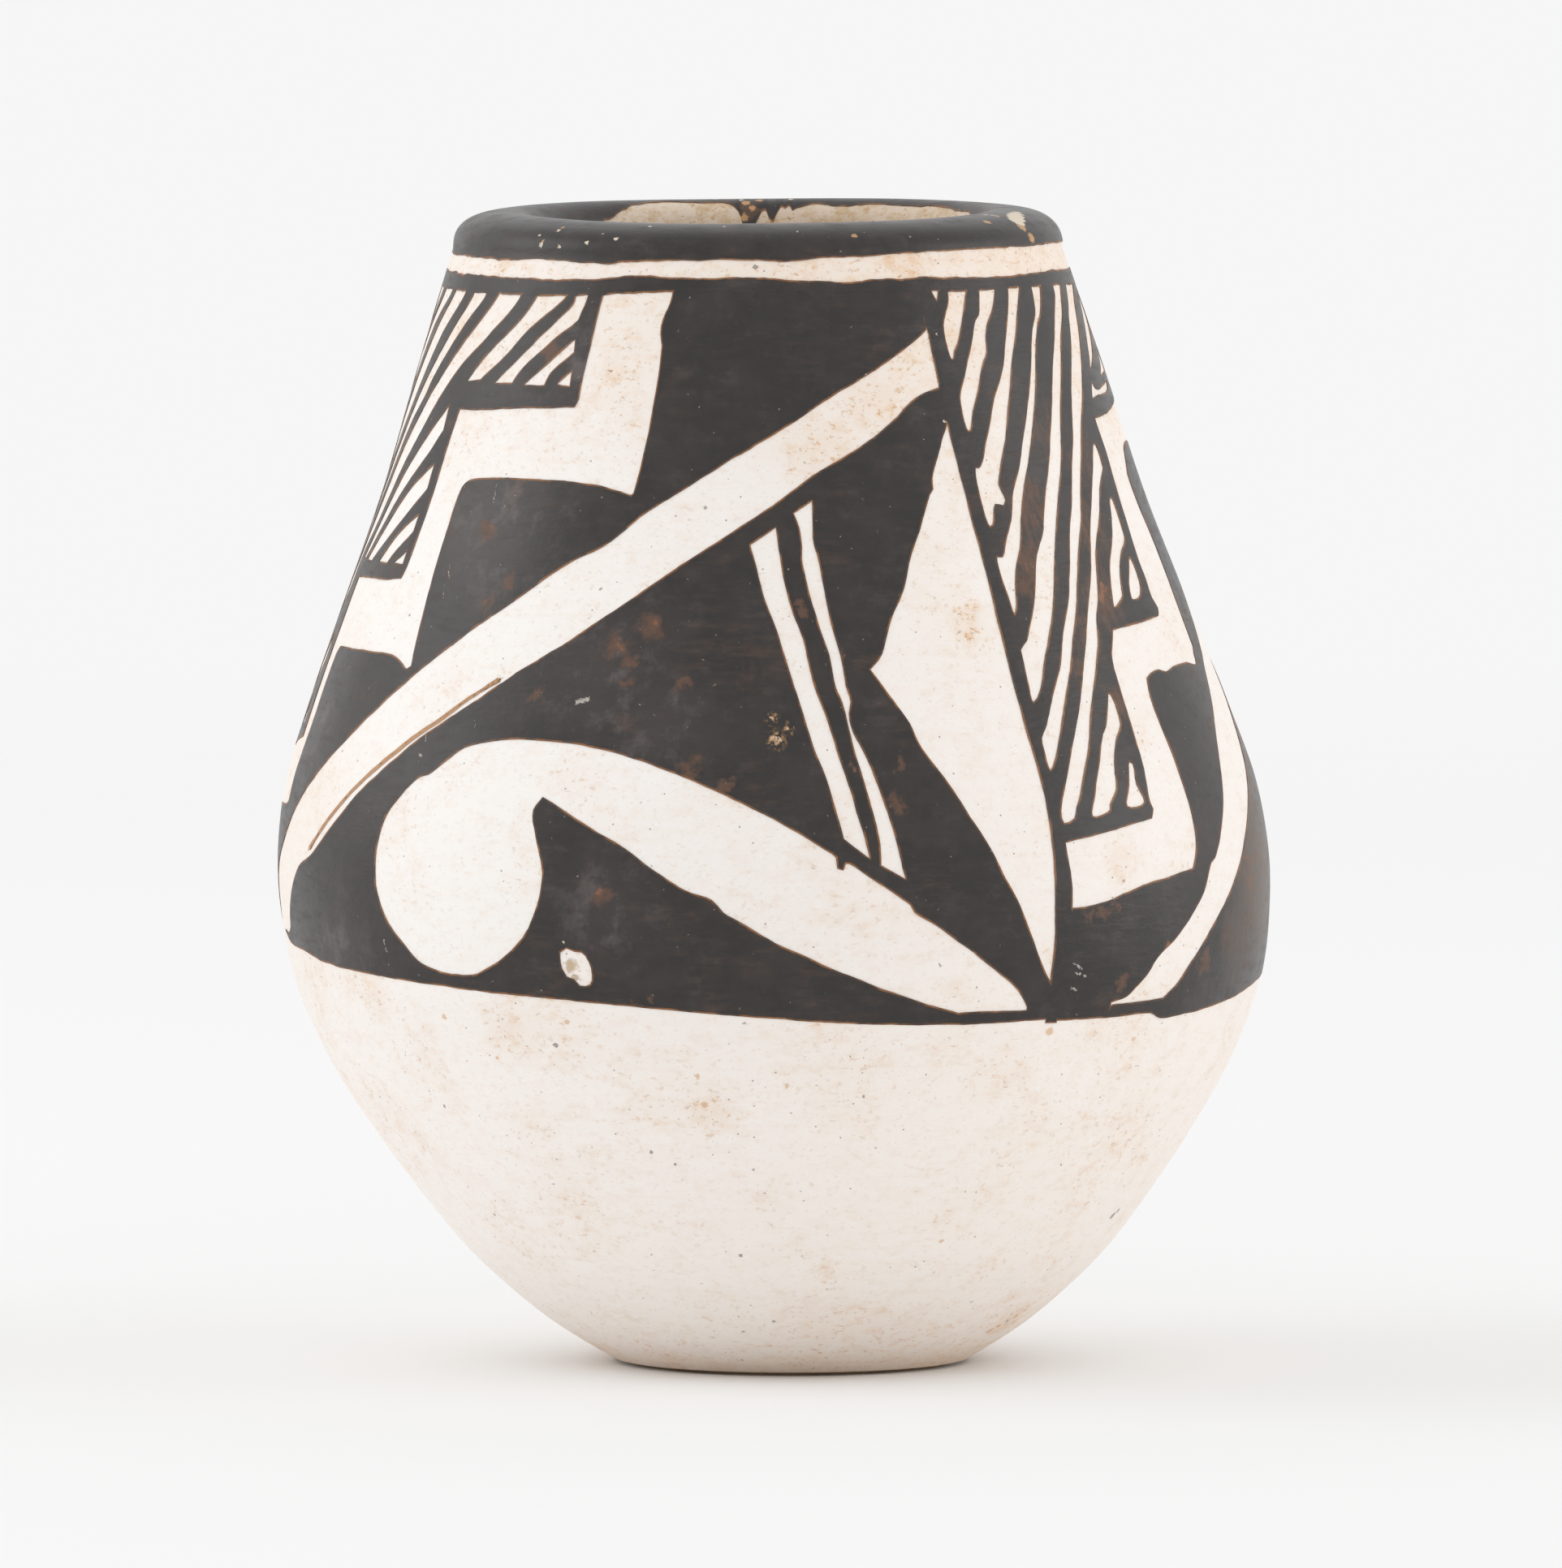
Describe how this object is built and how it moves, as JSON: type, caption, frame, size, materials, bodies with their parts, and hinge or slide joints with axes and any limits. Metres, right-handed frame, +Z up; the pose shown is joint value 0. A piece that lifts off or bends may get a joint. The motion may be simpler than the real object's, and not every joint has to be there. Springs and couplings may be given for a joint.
{
  "type": "pottery jar",
  "caption": "Small round-bellied hand-built pottery jar with a narrow thick-lipped mouth, white slip, and black painted panels of steps, hatching and scrolls.",
  "frame": {"origin": "centre of the flat foot, on the surface that the jar stands on", "axes": "+Z up through the mouth, -Y towards the side that is looked at, +X to that viewer's right"},
  "size_m": [0.0654, 0.0655, 0.076],
  "materials": {
    "clay": "matt fired clay, buff to tan",
    "white_slip": "stone-polished white slip with fine specks",
    "black_paint": "brown-black mineral paint with a soft sheen"
  },
  "bodies": {
    "root": {"base_dish": "clay", "wall_coil_1": "clay", "wall_coil_2": "clay", "wall_coil_3": "clay", "wall_coil_4": "clay", "wall_coil_5": "clay", "wall_coil_6": "clay", "rim_coil": "clay", "white_slip": "white_slip", "rim_paint": "black_paint", "collar_line": "black_paint", "front_hatching": "black_paint", "front_stepped_field": "black_paint", "front_scroll_field": "black_paint", "right_hatching": "black_paint", "right_stepped_field": "black_paint", "right_scroll_field": "black_paint", "back_hatching": "black_paint", "back_stepped_field": "black_paint", "back_scroll_field": "black_paint"}
  },
  "joints": []
}
